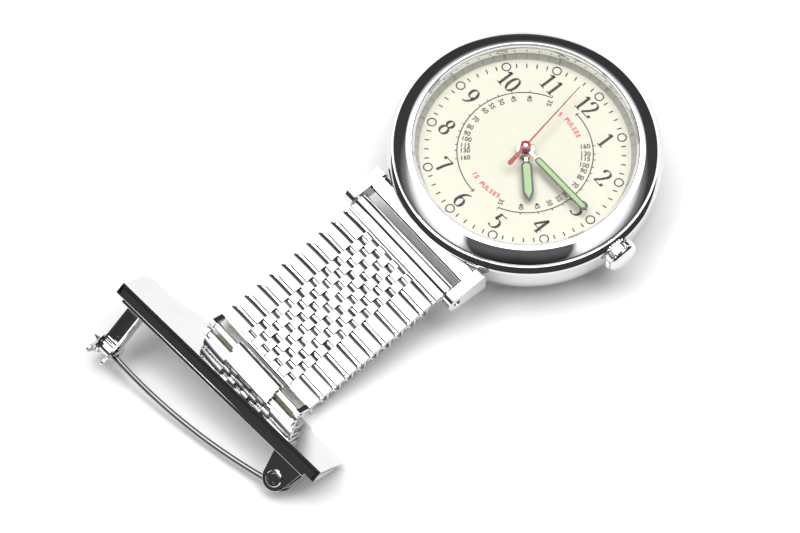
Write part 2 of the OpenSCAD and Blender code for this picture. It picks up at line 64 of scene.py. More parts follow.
# Hands: angles are clockwise from twelve, in degrees
HOUR_ANGLE, HOUR_Z = 127.5, 5.92
MINUTE_ANGLE, MINUTE_Z = 89.8, 6.32
SECOND_ANGLE, SECOND_Z = 349.5, 6.68

# Print on the dial: the radii of its rings
TRACK_R = 10.0
HOUR_FIGURE_R = 8.35
PULSE_R = 6.9
RED_LABEL_R = 5.7

# Band: rows of one pitch between the bar at the lugs and the knuckle
BAR_Y, BAR_Z = -16.0, 4.35
BAR_HOLE_R = 0.45
BAND_SLOPE = math.radians(10)
BAND_HALF = 6.8
ROW_START = 1.55
PITCH = 1.64
ROWS = 10
ROWS_END = ROW_START + ROWS * PITCH
ROW_GAP = 0.09
LEDGE = 0.07
COVER_THICK = 0.5
BRICKS = 7
BRICK_ZONE = 3.55
BRICK_W = 2 * BRICK_ZONE / BRICKS
BAND_TOP = 0.88
BAND_BOTTOM = -1.12

# Brooch: the plate lies askew on its knuckle
KNUCKLE_Y, KNUCKLE_Z = -35.27, 2.0
KNUCKLE_FOLD = math.radians(-48.5)
KNUCKLE_HOLE_R = 0.28
LIP_Y = 1.2
PLATE_SKEW = math.radians(8)
PLATE_HALF = 13.8
STRIP_N = -1.7
PIN_W = 1.02
WIRE_R = 0.28
RIVET_X, RIVET_N = 10.5, -4.05
CATCH_X, CATCH_N = -11.1, -6.86

BAND = Matrix.Translation((0, BAR_Y, BAR_Z)) @ Matrix.Rotation(BAND_SLOPE, 4, "X")
KNUCKLE = Matrix.Translation((0, KNUCKLE_Y, KNUCKLE_Z)) @ Matrix.Rotation(KNUCKLE_FOLD, 4, "X")
PLATE = (KNUCKLE @ Matrix.Translation((-0.7, 0, 0)) @ Matrix.Rotation(PLATE_SKEW, 4, "Z")
         @ Matrix.Translation((0, -6.28, -0.6)))
WORLD = Matrix.Identity(4)

# The knuckle's axis in the band's frame
KNUCKLE_U = (BAR_Y - KNUCKLE_Y) * math.cos(BAND_SLOPE) + (BAR_Z - KNUCKLE_Z) * math.sin(BAND_SLOPE)
KNUCKLE_V = (BAR_Y - KNUCKLE_Y) * math.sin(BAND_SLOPE) - (BAR_Z - KNUCKLE_Z) * math.cos(BAND_SLOPE)

# Directions: from the object to the camera, and across its view
TO_CAMERA = (0.333, -0.3066, 0.8916)
ACROSS = (0.6773, 0.7356, 0)


# ---- Materials ----

GRAIN = 0.00001  # depth of the bumps, in metres


def new_material(name):
    m = bpy.data.materials.new(name)
    m.use_nodes = True
    tree = m.node_tree
    return m, tree, tree.nodes["Principled BSDF"]


def noise(tree, scale, detail, stretch=None):
    coords = tree.nodes.new("ShaderNodeTexCoord")
    n = tree.nodes.new("ShaderNodeTexNoise")
    n.inputs["Scale"].default_value = scale
    n.inputs["Detail"].default_value = detail
    source = coords.outputs["Object"]
    if stretch:
        mapping = tree.nodes.new("ShaderNodeMapping")
        mapping.inputs["Scale"].default_value = stretch
        tree.links.new(source, mapping.inputs["Vector"])
        source = mapping.outputs["Vector"]
    tree.links.new(source, n.inputs["Vector"])
    return n.outputs["Fac"]


def ramp(tree, value, low, high):
    """Colour that goes from low to high over the middle of the noise's range."""
    r = tree.nodes.new("ShaderNodeValToRGB")
    r.color_ramp.elements[0].position = 0.3
    r.color_ramp.elements[1].position = 0.7
    r.color_ramp.elements[0].color = low
    r.color_ramp.elements[1].color = high
    tree.links.new(value, r.inputs["Fac"])
    return r.outputs["Color"]


def grey(v):
    return (v, v, v, 1)


def add_bump(tree, shader, height, strength):
    b = tree.nodes.new("ShaderNodeBump")
    b.inputs["Strength"].default_value = strength
    b.inputs["Distance"].default_value = GRAIN
    tree.links.new(height, b.inputs["Height"])
    tree.links.new(b.outputs["Normal"], shader.inputs["Normal"])


def metal(name, colour, rough=(0.03, 0.07), dull=0.06, bump=0.04, stretch=None, scale=900.0):
    """Polished or brushed metal: colour and gloss vary in fine patches, stretched where it is brushed."""
    m, tree, shader = new_material(name)
    shader.inputs["Metallic"].default_value = 1.0
    low = tuple(c * (1 - dull) for c in colour) + (1,)
    tree.links.new(ramp(tree, noise(tree, scale * 0.35, 4), low, colour + (1,)), shader.inputs["Base Color"])
    tree.links.new(ramp(tree, noise(tree, scale, 5, stretch), grey(rough[0]), grey(rough[1])),
                   shader.inputs["Roughness"])
    add_bump(tree, shader, noise(tree, scale * 1.7, 2, stretch), bump)
    return m


def painted(name, colour, second, rough=(0.3, 0.45), scale=1500.0, bump=0.05, coat=0.0):
    """Paint, print or plastic with a fine grain in its colour, gloss and surface."""
    m, tree, shader = new_material(name)
    tree.links.new(ramp(tree, noise(tree, scale, 4), colour + (1,), second + (1,)),
                   shader.inputs["Base Color"])
    tree.links.new(ramp(tree, noise(tree, scale * 1.5, 3), grey(rough[0]), grey(rough[1])),
                   shader.inputs["Roughness"])
    shader.inputs["Coat Weight"].default_value = coat
    add_bump(tree, shader, noise(tree, scale * 3, 3), bump)
    return m


CHROME = metal("chrome_polished", (0.83, 0.835, 0.85), (0.015, 0.04), 0.04, 0.02)
CHROME_BAND = metal("band_polished", (0.8, 0.805, 0.815), (0.05, 0.11), 0.06, 0.05)
CHROME_LINK = metal("link_satin", (0.72, 0.72, 0.73), (0.12, 0.25), 0.12, 0.08)
CHROME_BROOCH = metal("brooch_polished", (0.81, 0.815, 0.825), (0.02, 0.05), 0.05, 0.02)
# The pin's wire is chrome, but its colour is set far darker than chrome's: painted shade standing in for the
# dark reflections along the wire's sides.
PIN_WIRE_PAINTED_SHADE = metal("pin_wire", (0.2, 0.2, 0.205), (0.04, 0.1), 0.1, 0.05)
STEEL_BACK = metal("back_brushed", (0.68, 0.68, 0.69), (0.18, 0.3), 0.1, 0.2, (1, 40, 1), 500)
BRASS_INSIDE = metal("shell_inside", (0.7, 0.62, 0.42), (0.25, 0.4), 0.2, 0.1)
GILT = metal("movement_gilt", (0.83, 0.66, 0.34), (0.2, 0.32), 0.1, 0.1)
NICKEL = metal("movement_nickel", (0.7, 0.7, 0.71), (0.18, 0.3), 0.08, 0.2, (60, 1, 1), 400)
BLUED = metal("movement_screws", (0.42, 0.46, 0.58), (0.08, 0.16))
COPPER = metal("coil_copper", (0.72, 0.36, 0.18), (0.2, 0.35), 0.25, 0.5, (300, 1, 1), 60)
HAND_SILVER = metal("hand_silver", (0.8, 0.8, 0.8), (0.08, 0.16))
DIAL_CREAM = painted("dial_cream", (0.9, 0.885, 0.73), (0.93, 0.915, 0.76), (0.35, 0.5), 3000, 0.02)
REHAUT_CREAM = painted("rehaut_cream", (0.62, 0.62, 0.55), (0.66, 0.66, 0.59), (0.25, 0.4), 2500, 0.03)
REHAUT_LINE = painted("rehaut_line", (0.42, 0.42, 0.37), (0.47, 0.47, 0.42), (0.3, 0.4), 2500)
PRINT_DARK = painted("print_dark", (0.012, 0.011, 0.01), (0.02, 0.018, 0.016), (0.35, 0.5), 6000)
PRINT_RED = painted("print_red", (0.8, 0.07, 0.05), (0.86, 0.09, 0.07), (0.35, 0.5), 6000)
HAND_BLACK = painted("hand_black", (0.008, 0.008, 0.01), (0.014, 0.014, 0.016), (0.12, 0.2), 4000, 0.02, 0.5)
HAND_RED = painted("hand_red", (0.4, 0.006, 0.014), (0.46, 0.01, 0.02), (0.18, 0.28), 4000, 0.02, 0.4)
LUME = painted("lume_green", (0.48, 0.72, 0.34), (0.52, 0.76, 0.38), (0.5, 0.65), 5000, 0.15)
GASKET = painted("gasket_nylon", (0.75, 0.75, 0.73), (0.82, 0.82, 0.8), (0.4, 0.55), 3000, 0.1)
PLASTIC_BLACK = painted("spacer_plastic", (0.03, 0.03, 0.032), (0.045, 0.045, 0.048), (0.4, 0.55), 1800, 0.15)
PLASTIC_WHITE = painted("wheel_plastic", (0.8, 0.8, 0.77), (0.85, 0.85, 0.82), (0.35, 0.5), 1800, 0.1)
BOARD = painted("circuit_board", (0.02, 0.16, 0.06), (0.03, 0.2, 0.08), (0.3, 0.4), 1200, 0.1, 0.3)


def clear_crystal():
    m, tree, shader = new_material("crystal_clear")
    tree.links.new(ramp(tree, noise(tree, 700, 2), (0.2, 0.21, 0.22, 1), (0.24, 0.25, 0.26, 1)),
                   shader.inputs["Base Color"])
    shader.inputs["Roughness"].default_value = 0.02
    shader.inputs["Alpha"].default_value = 0.045
    shader.inputs["IOR"].default_value = 1.76
    return m


CRYSTAL = clear_crystal()


# ---- Shapes ----

def block(bm, lo, hi):
    """Box between two corners."""
    size = [b - a for a, b in zip(lo, hi)]
    middle = [(a + b) / 2 for a, b in zip(lo, hi)]
    bmesh.ops.create_cube(bm, size=1, matrix=Matrix.Translation(middle) @ Matrix.Diagonal((*size, 1)))


def prism(bm, outline, axis, a, b, holes=()):
    """Extrudes an outline, with any holes in it, along an axis from a to b."""
    order = {"x": lambda p, h: (h, p[0], p[1]), "y": lambda p, h: (p[0], h, p[1]),
             "z": lambda p, h: (p[0], p[1], h)}[axis]
    edges = []
    for loop in [outline, *holes]:
        verts = [bm.verts.new(order(p, a)) for p in loop]
        edges += [bm.edges.new((verts[i - 1], verts[i])) for i in range(len(verts))]
    made = bmesh.ops.triangle_fill(bm, edges=edges, use_beauty=True)
    faces = [g for g in made["geom"] if isinstance(g, bmesh.types.BMFace)]
    top = bmesh.ops.extrude_face_region(bm, geom=faces)
    moved = [g for g in top["geom"] if isinstance(g, bmesh.types.BMVert)]
    bmesh.ops.translate(bm, verts=moved, vec=Vector(order((0, 0), b)) - Vector(order((0, 0), a)))


def circle(cx, cy, r, n, start=0.0, sweep=TAU):
    """Points of a circle, or of an arc with both its ends."""
    steps = n if abs(sweep - TAU) < 1e-6 else n + 1
    return [(cx + r * math.cos(start + sweep * i / n), cy + r * math.sin(start + sweep * i / n))
            for i in range(steps)]


def lathe(bm, profile, sides=192, matrix=WORLD, closed=True):
    """Turns a profile of (radius, height) about local Z. An open profile starts and ends on the axis."""
    rings = []
    for r, z in profile:
        if r < 1e-6:
            rings.append([bm.verts.new(matrix @ Vector((0, 0, z)))] * sides)
        else:
            rings.append([bm.verts.new(matrix @ Vector((r * math.cos(TAU * i / sides),
                                                        r * math.sin(TAU * i / sides), z)))
                          for i in range(sides)])
    pairs = list(zip(rings, rings[1:])) + ([(rings[-1], rings[0])] if closed else [])
    for low, high in pairs:
        for i in range(sides):
            j = (i + 1) % sides
            corners = []
            for v in (low[i], low[j], high[j], high[i]):
                if v not in corners:
                    corners.append(v)
            if len(corners) > 2:
                bm.faces.new(corners)


def rod_x(bm, y, z, r, x1, x2, sides):
    """Round rod along X with a small bevel at its ends."""
    bevel = 0.04
    profile = [(0, x1), (r - bevel, x1), (r, x1 + bevel), (r, x2 - bevel), (r - bevel, x2), (0, x2)]
    turn = Matrix.Translation((0, y, z)) @ Matrix.Rotation(math.radians(90), 4, "Y")
    lathe(bm, profile, sides, turn, closed=False)


def sweep(bm, points, radii):
    """Round wire through the points, closed at both ends."""
    sides = 20
    rings = []
    side = Vector((0, 1, 0))
    for i, (p, r) in enumerate(zip(points, radii)):
        before, after = points[max(i - 1, 0)], points[min(i + 1, len(points) - 1)]
        along = (Vector(after) - Vector(before)).normalized()
        side = (side - along * side.dot(along)).normalized()
        up = along.cross(side)
        rings.append([bm.verts.new(Vector(p) + (side * math.cos(TAU * k / sides)
                                                + up * math.sin(TAU * k / sides)) * r)
                      for k in range(sides)])
    for low, high in zip(rings, rings[1:]):
        for k in range(sides):
            bm.faces.new((low[k], low[(k + 1) % sides], high[(k + 1) % sides], high[k]))
    bm.faces.new(rings[0][::-1])
    bm.faces.new(rings[-1])


def soften(bm, width, angle):
    """Bevels the edges that turn by more than the angle, in degrees."""
    bmesh.ops.remove_doubles(bm, verts=bm.verts, dist=1e-5)
    edges = [e for e in bm.edges if len(e.link_faces) == 2
             and e.calc_face_angle(0) > math.radians(angle)]
    bmesh.ops.bevel(bm, geom=edges, offset=width, offset_type="OFFSET", segments=2,
                    profile=0.5, affect="EDGES", clamp_overlap=True)


def piece(name, bm, materials, body, replaces=(), place=WORLD, sharp=34, flat=False):
    """Turns the mesh into an object that rides on a body and may stand for CAD nodes."""
    bmesh.ops.recalc_face_normals(bm, faces=bm.faces)
    bm.transform(Matrix.Diagonal((MM, MM, MM, 1)) @ place)
    mesh = bpy.data.meshes.new(name)
    bm.to_mesh(mesh)
    bm.free()
    mesh.polygons.foreach_set("use_smooth", [not flat] * len(mesh.polygons))
    mesh.set_sharp_from_angle(angle=math.radians(sharp))
    for m in materials if isinstance(materials, (list, tuple)) else [materials]:
        mesh.materials.append(m)
    obj = bpy.data.objects.new(name, mesh)
    bpy.context.scene.collection.objects.link(obj)
    weights = obj.modifiers.new("weights", "WEIGHTED_NORMAL")
    weights.keep_sharp = True
    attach(obj, body)
    if replaces:
        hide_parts(*replaces)
    return obj


def paint_from(bm, count, index):
    """Gives the faces made since there were count of them the material of that index."""
    bm.faces.ensure_lookup_table()
    for f in bm.faces[count:]:
        f.material_index = index


# ---- Watch head ----

def bulge(p, q, sag, n):
    """Points on the arc from p to q that bulges out by sag."""
    (x1, z1), (x2, z2) = p, q
    length = math.hypot(x2 - x1, z2 - z1)
    nx, nz = -(z2 - z1) / length, (x2 - x1) / length
    pts = []
    for i in range(n + 1):
        t = i / n
        s = 4 * t * (1 - t) * sag
        pts.append((x1 + (x2 - x1) * t - nx * s, z1 + (z2 - z1) * t - nz * s))
    return pts


def make_bezel():
    bm = bmesh.new()
    # foot and outer wall
    profile = [(BORE_R, 5.02), (13.8, 5.02), (13.95, 5.06), (BEZEL_R, 5.16)]
    profile += bulge((BEZEL_R, 5.6), (13.53, 6.14), 0.01, 6)
    # groove between the wall and the slope
    profile += [(13.54, 6.2), (13.52, 6.24), (13.49, 6.24), (13.47, 6.19), (13.44, 6.19), (13.42, 6.3)]
    # slope up to the lip over the crystal
    profile += bulge((13.41, 6.34), (13.34, 6.46), 0.01, 4) + bulge((13.3, 6.5), (12.15, 7.13), 0.025, 18)
    profile += bulge((12.09, 7.15), (11.62, 7.22), 0.01, 6)
    profile += [(11.56, 7.22), (11.52, 7.2), (BORE_R, 7.16)]
    lathe(bm, profile, 256)
    piece("bezel_turned", bm, CHROME, "watch_head", ["bezel"], sharp=50)


def make_case():
    bm = bmesh.new()
    inside = 11.62
    profile = [(inside, 0.92), (12.7, 0.92)] + bulge((12.85, 0.95), (13.78, 3.0), 0.22, 10)
    profile += [(CASE_R, 3.2), (CASE_R, 4.85), (13.74, 4.95), (13.6, CASE_TOP), (inside, CASE_TOP)]
    lathe(bm, profile, 256)
    lug = circle(BAR_Y, BAR_Z, 1.1, 20, math.radians(85), math.radians(185))
    lug += [(-12.2, 2.92), (-12.2, 4.96), (-12.6, 5.72)]
    for x in (-LUG_GAP / 2 - LUG_W, LUG_GAP / 2):
        prism(bm, lug, "x", x, x + LUG_W, [circle(BAR_Y, BAR_Z, BAR_HOLE_R, 28)])
    # wall between the lugs
    prism(bm, [(-14.5, 2.92), (-12.4, 2.92), (-12.4, 4.96), (-12.9, 5.18), (-14.32, 5.18), (-14.5, 5.0)],
          "x", -7.05, 7.05)
    soften(bm, 0.07, 40)
    piece("case_turned", bm, CHROME, "watch_head", ["case_middle"], sharp=20)


def make_crystal():
    bm = bmesh.new()
    rim, top = BORE_R - 0.01, CRYSTAL_Z + 0.29
    profile = [(0, CRYSTAL_Z), (rim - 0.02, CRYSTAL_Z), (rim, CRYSTAL_Z + 0.02), (rim, top - 0.09),
               (rim - 0.07, top - 0.03), (rim - 0.24, top - 0.01), (8, top), (0, top)]
    lathe(bm, profile, 192, closed=False)
    piece("crystal_ground", bm, CRYSTAL, "watch_head", ["crystal"], sharp=30)


def make_rehaut():
    bm = bmesh.new()
    # polished upper ring
    profile = [(11.2, 5.85), (REHAUT_R, 5.85), (REHAUT_R, 6.79), (11.36, 6.79), (11.3, 6.7), (11.22, 5.95)]
    lathe(bm, profile, 240)
    count = len(bm.faces)
    # cream slope down to the dial
    profile = [(10.75, 5.31), (REHAUT_R, 5.31), (REHAUT_R, 5.84), (11.24, 5.84), (11.2, 5.8), (10.78, 5.42)]
    lathe(bm, profile, 240)
    paint_from(bm, count, 1)
    count = len(bm.faces)
    # thin bars on the slope, wider at the hours
    for k in range(60):
        turn = Matrix.Rotation(TAU * k / 60, 4, "Z")
        wide = 0.05 if k % 5 else 0.16
        at = [(10.81, 5.44), (11.19, 5.8), (11.21, 5.78), (10.83, 5.42)]
        v = [bm.verts.new(turn @ Vector((r, y, z + 0.012))) for y in (-wide, wide) for r, z in at]
        for f in ((0, 1, 2, 3), (4, 7, 6, 5), (0, 4, 5, 1), (3, 2, 6, 7), (0, 3, 7, 4), (1, 5, 6, 2)):
            bm.faces.new([v[i] for i in f])
    paint_from(bm, count, 2)
    piece("rehaut_scaled", bm, [CHROME, REHAUT_CREAM, REHAUT_LINE], "watch_head", ["rehaut_ring"], sharp=40)


def make_dial():
    bm = bmesh.new()
    profile = [(0.9, 5.02), (DIAL_R, 5.02), (DIAL_R, DIAL_Z - 0.02), (DIAL_R - 0.02, DIAL_Z),
               (0.95, DIAL_Z), (0.9, DIAL_Z - 0.04)]
    lathe(bm, profile, 192)
    piece("dial_plate", bm, DIAL_CREAM, "watch_head", ["dial"], sharp=40)


# Strokes of the figures in a box one high, as lists of (x, y). A stroke is thick where it runs up
# and down and thin where it runs across, as a broad pen makes it.
def oval(cx, cy, rx, ry):
    """Closed stroke that starts at its top."""
    n = 28
    return [(cx + rx * math.cos(math.radians(90 + 360 * i / n)),
             cy + ry * math.sin(math.radians(90 + 360 * i / n))) for i in range(n + 1)]


FIGURES = {
    "0": [oval(0.3, 0.49, 0.22, 0.45)],
    "1": [[(0.32, 0.03), (0.32, 0.94)], [(0.31, 0.93), (0.22, 0.84), (0.12, 0.8)],
          [(0.14, 0.02), (0.5, 0.02)]],
    "2": [[(0.08, 0.72), (0.1, 0.86), (0.2, 0.95), (0.34, 0.95), (0.46, 0.86), (0.47, 0.7), (0.38, 0.5),
           (0.24, 0.28), (0.07, 0.07)],
          [(0.06, 0.05), (0.3, 0.06), (0.54, 0.04)], [(0.54, 0.04), (0.57, 0.2)]],
    "3": [[(0.1, 0.8), (0.16, 0.92), (0.3, 0.96), (0.43, 0.87), (0.44, 0.72), (0.35, 0.58), (0.2, 0.53)],
          [(0.2, 0.53), (0.38, 0.51), (0.5, 0.4), (0.5, 0.2), (0.38, 0.05), (0.2, 0.01), (0.07, 0.08)]],
    "4": [[(0.42, 0.95), (0.04, 0.27)], [(0.03, 0.26), (0.58, 0.26)], [(0.42, 0.95), (0.42, 0.02)],
          [(0.3, 0.02), (0.54, 0.02)]],
    "5": [[(0.16, 0.92), (0.3, 0.91), (0.5, 0.94)], [(0.16, 0.93), (0.11, 0.5)],
          [(0.11, 0.5), (0.24, 0.58), (0.4, 0.54), (0.5, 0.38), (0.48, 0.18), (0.34, 0.03), (0.17, 0.01),
           (0.06, 0.08)]],
    "6": [[(0.5, 0.95), (0.32, 0.87), (0.17, 0.69), (0.09, 0.44), (0.1, 0.2), (0.22, 0.03), (0.38, 0.02),
           (0.49, 0.16), (0.49, 0.38), (0.4, 0.52), (0.24, 0.54), (0.12, 0.42)]],
    "7": [[(0.06, 0.91), (0.3, 0.9), (0.54, 0.92)], [(0.06, 0.92), (0.04, 0.76)],
          [(0.54, 0.91), (0.37, 0.5), (0.26, 0.02)]],
    "8": [oval(0.3, 0.73, 0.17, 0.21), oval(0.3, 0.27, 0.21, 0.25)],
}
FIGURES["9"] = [[(0.6 - x, 0.97 - y) for x, y in stroke] for stroke in FIGURES["6"]]


def smooth_path(points):
    """Catmull-Rom curve through the points."""
    steps = 6
    if len(points) < 3:
        return [Vector(p) for p in points]
    pts = [Vector(p) for p in points]
    pts = [pts[0] * 2 - pts[1]] + pts + [pts[-1] * 2 - pts[-2]]
    out = []
    for i in range(1, len(pts) - 2):
        a, b, c, d = pts[i - 1:i + 3]
        for k in range(steps):
            t = k / steps
            out.append(0.5 * ((2 * b) + (c - a) * t + (2 * a - 5 * b + 4 * c - d) * t * t
                              + (3 * b - a - 3 * c + d) * t ** 3))
    return out + [pts[-2]]


PRINT_THICK = 0.012


def ribbon(bm, points, widths, z):
    """Flat strip along the points, with square ends and the thickness of print."""
    left, right = [], []
    for i, p in enumerate(points):
        along = (points[min(i + 1, len(points) - 1)] - points[max(i - 1, 0)]).normalized()
        across = Vector((-along.y, along.x)) * widths[i] / 2
        left.append(p + across)
        right.append(p - across)
    low = [[bm.verts.new((q.x, q.y, z)) for q in row] for row in (left, right)]
    high = [[bm.verts.new((q.x, q.y, z + PRINT_THICK)) for q in row] for row in (left, right)]
    for i in range(len(points) - 1):
        bm.faces.new((high[0][i], high[1][i], high[1][i + 1], high[0][i + 1]))
        bm.faces.new((low[0][i], low[0][i + 1], low[1][i + 1], low[1][i]))
        bm.faces.new((low[0][i], high[0][i], high[0][i + 1], low[0][i + 1]))
        bm.faces.new((low[1][i], low[1][i + 1], high[1][i + 1], high[1][i]))
    for i in (0, -1):
        bm.faces.new((low[0][i], low[1][i], high[1][i], high[0][i]))


def figure(bm, digit, x, y, height, z):
    """Numeral with its lower left corner at x, y."""
    for stroke in FIGURES[digit]:
        path = smooth_path(stroke)
        points = [Vector((x + p.x * height, y + p.y * height)) for p in path]
        widths = []
        for i in range(len(path)):
            along = (path[min(i + 1, len(path) - 1)] - path[max(i - 1, 0)]).normalized()
            widths.append(height * (0.05 + 0.105 * abs(along.y) ** 1.6))
        ribbon(bm, points, widths, z)


def ring_print(bm, centre, r, width, z):
    n = 28
    points = [centre + Vector((r * math.cos(TAU * i / n), r * math.sin(TAU * i / n))) for i in range(n + 1)]
    ribbon(bm, points, [width] * (n + 1), z)


def clock(angle, r):
    """Point at a radius and an angle clockwise from twelve, in degrees."""
    a = math.radians(90 - angle)
    return Vector((r * math.cos(a), r * math.sin(a)))


def words(bm, text, size, centre, turn, z, bold):
    """Small plain letters, centred on a point and turned by an angle in degrees."""
    curve = bpy.data.curves.new("letters", "FONT")
    curve.body = text
    curve.size = size
    curve.align_x = "CENTER"
    curve.align_y = "CENTER"
    curve.extrude = PRINT_THICK / 2
    curve.offset = bold
    curve.resolution_u = 3
    holder = bpy.data.objects.new("letters", curve)
    bpy.context.scene.collection.objects.link(holder)
    bpy.context.view_layer.update()
    mesh = bpy.data.meshes.new_from_object(holder.evaluated_get(bpy.context.evaluated_depsgraph_get()))
    mesh.transform(Matrix.Translation((centre.x, centre.y, z + PRINT_THICK / 2))
                   @ Matrix.Rotation(math.radians(turn), 4, "Z"))
    bm.from_mesh(mesh)
    bpy.data.meshes.remove(mesh)
    bpy.data.objects.remove(holder)
    bpy.data.curves.remove(curve)


def print_track(bm, z):
    """Minute strokes, with a ring at each hour."""
    line = 0.13
    for minute in range(60):
        if minute % 5:
            stroke = [clock(minute * 6, r) for r in (TRACK_R - 0.24, TRACK_R + 0.24)]
            ribbon(bm, stroke, [line, line], z)
        else:
            ring_print(bm, clock(minute * 6, TRACK_R), 0.44, line, z)


def print_hours(bm, z):
    height = 1.95
    advance, middle = 0.56 * height, 0.3 * height
    for hour in range(1, 13):
        c = clock(hour * 30, HOUR_FIGURE_R)
        digits = str(hour)
        for i, d in enumerate(digits):
            x = c.x + (i - (len(digits) - 1) / 2) * advance - middle
            figure(bm, d, x, c.y - height / 2, height, z)


def print_pulse_scales(bm, z):
    """Two scales over half a turn each: beats a minute by the time that 15 beats take."""
    line, tick = 0.11, 0.09
    for first in (0, 180):
        points = [clock(first + 154.3 * i / 60, PULSE_R) for i in range(61)]
        ribbon(bm, points, [line] * 61, z)
        barb = first + 1.5
        arrow = [clock(barb, PULSE_R + 0.24), clock(first - 0.3, PULSE_R), clock(barb, PULSE_R - 0.24)]
        ribbon(bm, arrow, [tick] * 3, z)
        for rate in (160, 130, 115, 100, 90, 80, 70, 60, 55, 50, 45, 40, 35):
            a = first + 15 * 60 / rate * 6
            ribbon(bm, [clock(a, PULSE_R), clock(a, PULSE_R + 0.26)], [tick, tick], z)
            label = clock(a, 6.22 if rate < 100 else 6.1)
            turn = 90 - a + (0 if first == 0 else 180)
            words(bm, str(rate), 0.72, label, turn, z, 0.014)


def print_red_labels(bm, z):
    label = "15 PULSES"
    letter_step = 4.4
    for first in (0, 180):
        for i, letter in enumerate(label):
            if letter == " ":
                continue
            step = (i - (len(label) - 1) / 2) * letter_step + 3
            a = first + step if first == 0 else first - step
            words(bm, letter, 0.68, clock(a, RED_LABEL_R), -step if first == 0 else step, z, 0.024)


def make_print():
    z = DIAL_Z + 0.002
    bm = bmesh.new()
    print_track(bm, z)
    print_hours(bm, z)
    print_pulse_scales(bm, z)
    piece("dial_figures", bm, PRINT_DARK, "watch_head", flat=True)
    bm = bmesh.new()
    print_red_labels(bm, z)
    piece("dial_red_figures", bm, PRINT_RED, "watch_head", flat=True)


def hand_part(bm, points, z, thick, angle):
    """Flat part of a hand, drawn pointing to +X and turned to its angle clockwise from twelve."""
    start = len(bm.verts)
    prism(bm, points, "z", z, z + thick)
    bm.verts.ensure_lookup_table()
    bmesh.ops.rotate(bm, verts=bm.verts[start:], cent=(0, 0, 0),
                     matrix=Matrix.Rotation(math.radians(90 - angle), 3, "Z"))


def half_round(x, r, start):
    return circle(x, 0, r, 12, math.radians(start), math.radians(180))


def make_hour_hand():
    bm = bmesh.new()
    outer = circle(1.95, 0, 0.56, 14, math.radians(100), math.radians(160))
    outer += [(4.9, -0.56), (5.15, -0.5), (6.02, 0), (5.15, 0.5), (4.9, 0.56)]
    hand_part(bm, outer, HOUR_Z, 0.1, HOUR_ANGLE)
    count = len(bm.faces)
    arm = [(0.6, -0.16), (1.6, -0.16), (1.6, 0.16), (0.6, 0.16)]
    hand_part(bm, arm, HOUR_Z + 0.01, 0.08, HOUR_ANGLE)
    lathe(bm, [(0.72, 5.6), (0.95, 5.9), (0.95, 6.0), (0.9, 6.03), (0.72, 6.03)], 48)
    paint_from(bm, count, 1)
    count = len(bm.faces)
    inner = circle(1.98, 0, 0.36, 12, math.radians(100), math.radians(160))
    inner += [(4.85, -0.36), (5.62, 0), (4.85, 0.36)]
    hand_part(bm, inner, HOUR_Z + 0.08, 0.045, HOUR_ANGLE)
    paint_from(bm, count, 2)
    piece("hour_hand_lumed", bm, [HAND_BLACK, HAND_SILVER, LUME], "hours", ["hour_hand"], sharp=30)


def make_minute_hand():
    bm = bmesh.new()
    outer = half_round(2.0, 0.36, 90) + half_round(8.86, 0.36, -90)
    hand_part(bm, outer, MINUTE_Z, 0.09, MINUTE_ANGLE)
    tip = [(9.1, -0.07), (9.42, -0.06), (9.42, 0.06), (9.1, 0.07)]
    hand_part(bm, tip, MINUTE_Z + 0.02, 0.06, MINUTE_ANGLE)
    count = len(bm.faces)
    arm = [(0.5, -0.13), (1.75, -0.13), (1.75, 0.13), (0.5, 0.13)]
    hand_part(bm, arm, MINUTE_Z + 0.01, 0.07, MINUTE_ANGLE)
    lathe(bm, [(0.46, 6.0), (0.68, 6.3), (0.68, 6.4), (0.64, 6.43), (0.2, 6.43), (0.2, 6.3)], 48)
    paint_from(bm, count, 1)
    count = len(bm.faces)
    inner = half_round(2.03, 0.22, 90) + half_round(8.7, 0.22, -90)
    hand_part(bm, inner, MINUTE_Z + 0.08, 0.035, MINUTE_ANGLE)
    paint_from(bm, count, 2)
    piece("minute_hand_lumed", bm, [HAND_BLACK, HAND_SILVER, LUME], "minutes", ["minute_hand"], sharp=30)


def make_second_hand():
    bm = bmesh.new()
    thick = 0.06
    needle = [(0.3, -0.09), (8.8, -0.045), (8.8, 0.045), (0.3, 0.09)]
    hand_part(bm, needle, SECOND_Z, thick, SECOND_ANGLE)
    tail = [(-0.3, -0.14), (-2.4, -0.26)] + circle(-2.5, 0, 0.26, 10, math.radians(270), math.radians(-180))
    tail += [(-2.4, 0.26), (-0.3, 0.14)]
    hand_part(bm, tail, SECOND_Z, thick, SECOND_ANGLE)
    hub = [(0.26, 6.62), (0.5, 6.62), (0.56, 6.68), (0.55, 6.78), (0.47, 6.83), (0.3, 6.84), (0.26, 6.8)]
    lathe(bm, hub, 48)
    count = len(bm.faces)
    pipe = [(0, 6.6), (0.25, 6.6), (0.25, 6.8), (0.2, 6.85), (0.1, 6.85), (0.08, 6.82), (0, 6.82)]
    lathe(bm, pipe, 32, closed=False)
    paint_from(bm, count, 1)
    piece("second_hand_sweep", bm, [HAND_RED, HAND_SILVER], "seconds", ["second_hand"], sharp=30)


